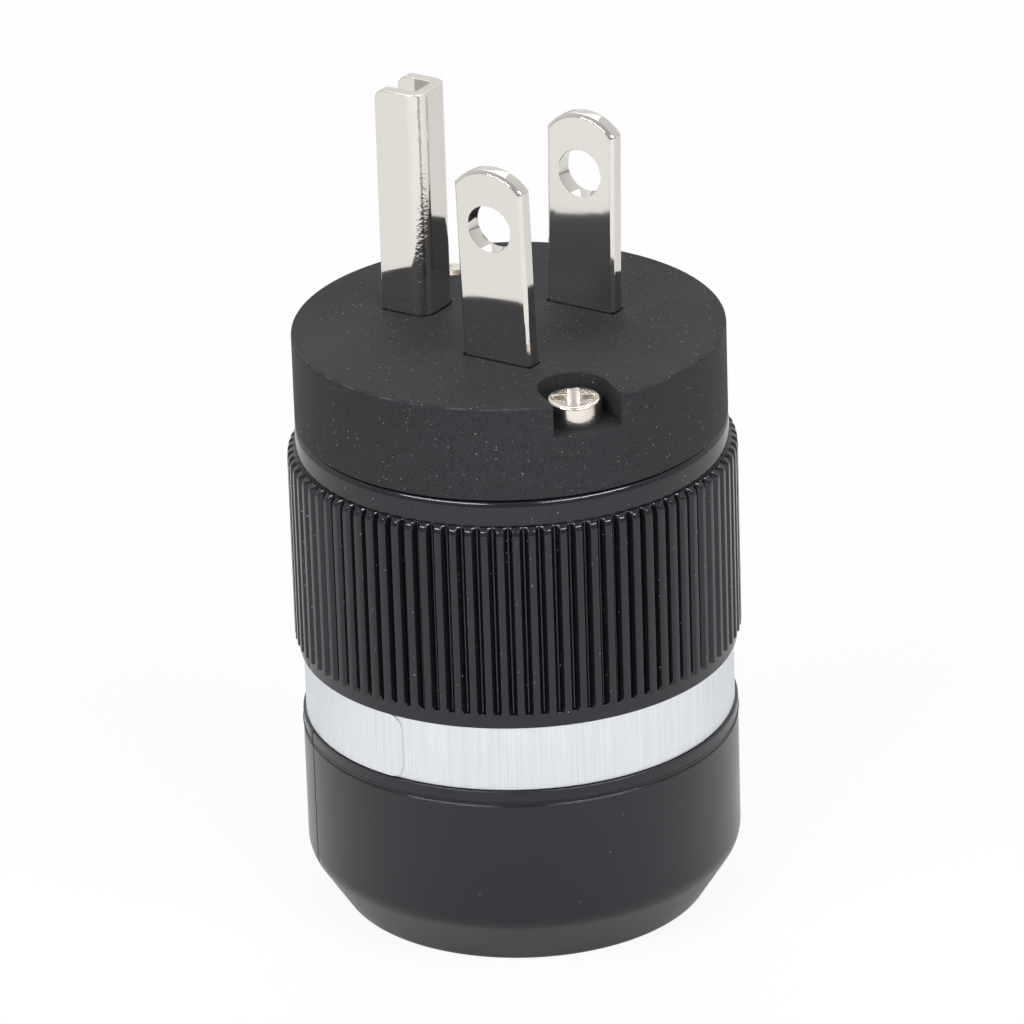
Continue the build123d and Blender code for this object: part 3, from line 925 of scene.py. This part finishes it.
for node, name in (("near_shell_half", "near_shell_moulded"), ("far_shell_half", "far_shell_moulded")):
    half = rounded_piece(
        name, soft_wall(welded(node)), satin_nylon,
        small_round=0.08, sharp_degrees=40.0, on_large=on_foot_edge, large_round=0.4,
    )
    stand_for(half, node)

# %% [markdown]
# ## The foil label
#
# The label is a thin strip wrapped once round the shell, its free end lapped over its start. It could be
# drawn in the shell's material, but a real strip has an edge that catches the light, so it is a piece of
# its own with a very small round.

# %% Label
label = rounded_piece(
    "foil_label", welded("label_band"), silver_foil, small_round=0.02, sharp_degrees=40.0
)
stand_for(label, "label_band")

# %% [markdown]
# ## The inside
#
# The terminals, nuts and cord clamp show only through the cord hole. Rounded copies would not be seen, so
# the CAD solids stay as they are and get their metals and plastics.

# %% Materials for the inner pieces
inner = {
    "neutral_clamp_plate": plain_brass,
    "line_clamp_plate": plain_brass,
    "ground_clamp_plate": plain_brass,
    "terminal_screws": plain_brass,
    "terminal_cover": satin_nylon,
    "terminal_cover_screw": zinc_steel,
    "shell_nuts": zinc_steel,
    "near_cord_jaw": satin_nylon,
    "far_cord_jaw": satin_nylon,
    "cord_clamp_screws": screw_nickel,
    "cord_clamp_nuts": zinc_steel,
}
for node, material in inner.items():
    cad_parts[node].data.materials.clear()
    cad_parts[node].data.materials.append(material)
print("inner pieces:", len(inner))

# %% [markdown]
# ## The floor
#
# The picture has a cut-out look, white all round. Enough light to burn out a floor would burn out the plug
# too. So the floor is plain pale paper for all other rays, and for the camera alone most of it is a white
# that glows at strength 1. The little that is left of the paper keeps a trace of the plug's shadow.

# %% Pale paper
# Matte paper gives the eye no highlight. Its tooth is drawn coarser than a real one, to show.
paper_white = 0.9
tooth_mm = 0.6
tooth_strength = 0.05
tooth_height = 0.02


def white_paper():
    """Pale matte paper that the camera sees as almost white, with a trace of shadow."""
    material, tree, shader, place = new_finish(
        "paper_white_matte", {"Base Color": linear("#f2f2f2"), "Roughness": 0.9}
    )
    tooth = add_node(tree, "ShaderNodeTexNoise", inputs={"Vector": place, "Scale": per_mm(tooth_mm)})
    bump = add_node(
        tree, "ShaderNodeBump",
        inputs={"Height": tooth.outputs["Fac"], "Strength": tooth_strength, "Distance": tooth_height * MM},
    )
    tree.links.new(bump.outputs["Normal"], shader.inputs["Normal"])
    glow = add_node(tree, "ShaderNodeEmission", inputs={"Color": (1, 1, 1, 1), "Strength": 1.0})
    ray = add_node(tree, "ShaderNodeLightPath").outputs
    share = add_node(
        tree, "ShaderNodeMath", {"operation": "MULTIPLY"}, {0: ray["Is Camera Ray"], 1: paper_white}
    )
    mixed = add_node(
        tree, "ShaderNodeMixShader",
        inputs={0: share.outputs[0], 1: shader.outputs["BSDF"], 2: glow.outputs["Emission"]},
    )
    output = next(n for n in tree.nodes if n.type == "OUTPUT_MATERIAL")
    tree.links.new(mixed.outputs["Shader"], output.inputs["Surface"])
    return material


print("share of white for the camera:", paper_white)

# %% Lay the floor
floor_half = 3.0
corner_signs = ((-1, -1), (1, -1), (1, 1), (-1, 1))
floor_mesh = bpy.data.meshes.new("paper_floor")
floor_mesh.from_pydata([(x * floor_half, y * floor_half, 0) for x, y in corner_signs], [], [(0, 1, 2, 3)])
floor_mesh.materials.append(white_paper())
floor = bpy.data.objects.new("paper_floor", floor_mesh)
bpy.context.scene.collection.objects.link(floor)
print("floor in metres:", 2 * floor_half, "square")

# %% [markdown]
# ## The world and the lamps
#
# The plug stands in a white tent. A picture of a studio could light it, but a few lamps are easier to
# steer. The camera sees the tent pure white, and as a light it is dim, so that the lamps model the forms.
# Mirrors see paper that is brighter behind the plug than on the camera's side, as with a sweep of paper
# behind a real product. Two narrow lamps at the sides draw the bright arcs on the grip's nose. A lamp above
# and behind lights the tops, and a low lamp in front fills the shade. It is hidden from mirrors, so that it
# leaves no highlight of its own.

# %% White world
room_level = 0.25
paper_camera_side = 0.5
paper_behind_plug = 0.95
sweep_reach = 0.9

world = bpy.data.worlds.new("white_tent")
bpy.context.scene.world = world
world.use_nodes = True
sky = world.node_tree
sky.nodes.clear()
ray = add_node(sky, "ShaderNodeLightPath").outputs
towards = add_node(sky, "ShaderNodeTexCoord").outputs["Generated"]
depth = add_node(sky, "ShaderNodeVectorMath", {"operation": "DOT_PRODUCT"}, {0: towards, 1: flat_ahead})
paper_tone = add_node(
    sky, "ShaderNodeMapRange",
    inputs={"Value": depth.outputs["Value"], "From Min": -sweep_reach, "From Max": sweep_reach,
            "To Min": paper_camera_side, "To Max": paper_behind_plug},
)
mirrored = add_node(
    sky, "ShaderNodeMapRange",
    inputs={"Value": ray["Is Glossy Ray"], "To Min": room_level, "To Max": paper_tone.outputs["Result"]},
)
level = add_node(
    sky, "ShaderNodeMath", {"operation": "MAXIMUM"},
    {0: ray["Is Camera Ray"], 1: mirrored.outputs["Result"]},
)
tent = add_node(sky, "ShaderNodeBackground", inputs={"Color": (1, 1, 1, 1), "Strength": level.outputs[0]})
add_node(sky, "ShaderNodeOutputWorld", inputs={"Surface": tent.outputs["Background"]})
print("world nodes:", len(sky.nodes))

# %% Soft lamps
def soft_lamp(name, power, wide, high, turn, lift, distance):
    """A rectangular area lamp that looks at the middle of the plug."""
    lamp_data = bpy.data.lights.new(name, "AREA")
    lamp_data.energy = power
    lamp_data.shape = "RECTANGLE"
    lamp_data.size = wide
    lamp_data.size_y = high
    lamp = bpy.data.objects.new(name, lamp_data)
    bpy.context.scene.collection.objects.link(lamp)
    back = Vector((sin(turn) * cos(lift), -cos(turn) * cos(lift), sin(lift)))
    lamp.location = Vector((0, 0, face_height / 2)) + back * distance
    lamp.rotation_euler = back.to_track_quat("Z", "Y").to_euler()
    return lamp


side_turn = radians(42)
side_lamp = {"power": 2.8, "wide": 0.5, "high": 0.05, "lift": radians(42), "distance": 0.7}
soft_lamp("top_lamp", power=1.4, wide=0.5, high=0.5, turn=camera_turn, lift=radians(125), distance=0.7)
fill = soft_lamp(
    "front_lamp", power=1.6, wide=0.6, high=0.2, turn=camera_turn, lift=radians(10), distance=0.9
)
fill.visible_glossy = False
soft_lamp("left_lamp", turn=camera_turn - side_turn, **side_lamp)
soft_lamp("right_lamp", turn=camera_turn + side_turn, **side_lamp)
bpy.context.scene.view_settings.view_transform = "Standard"
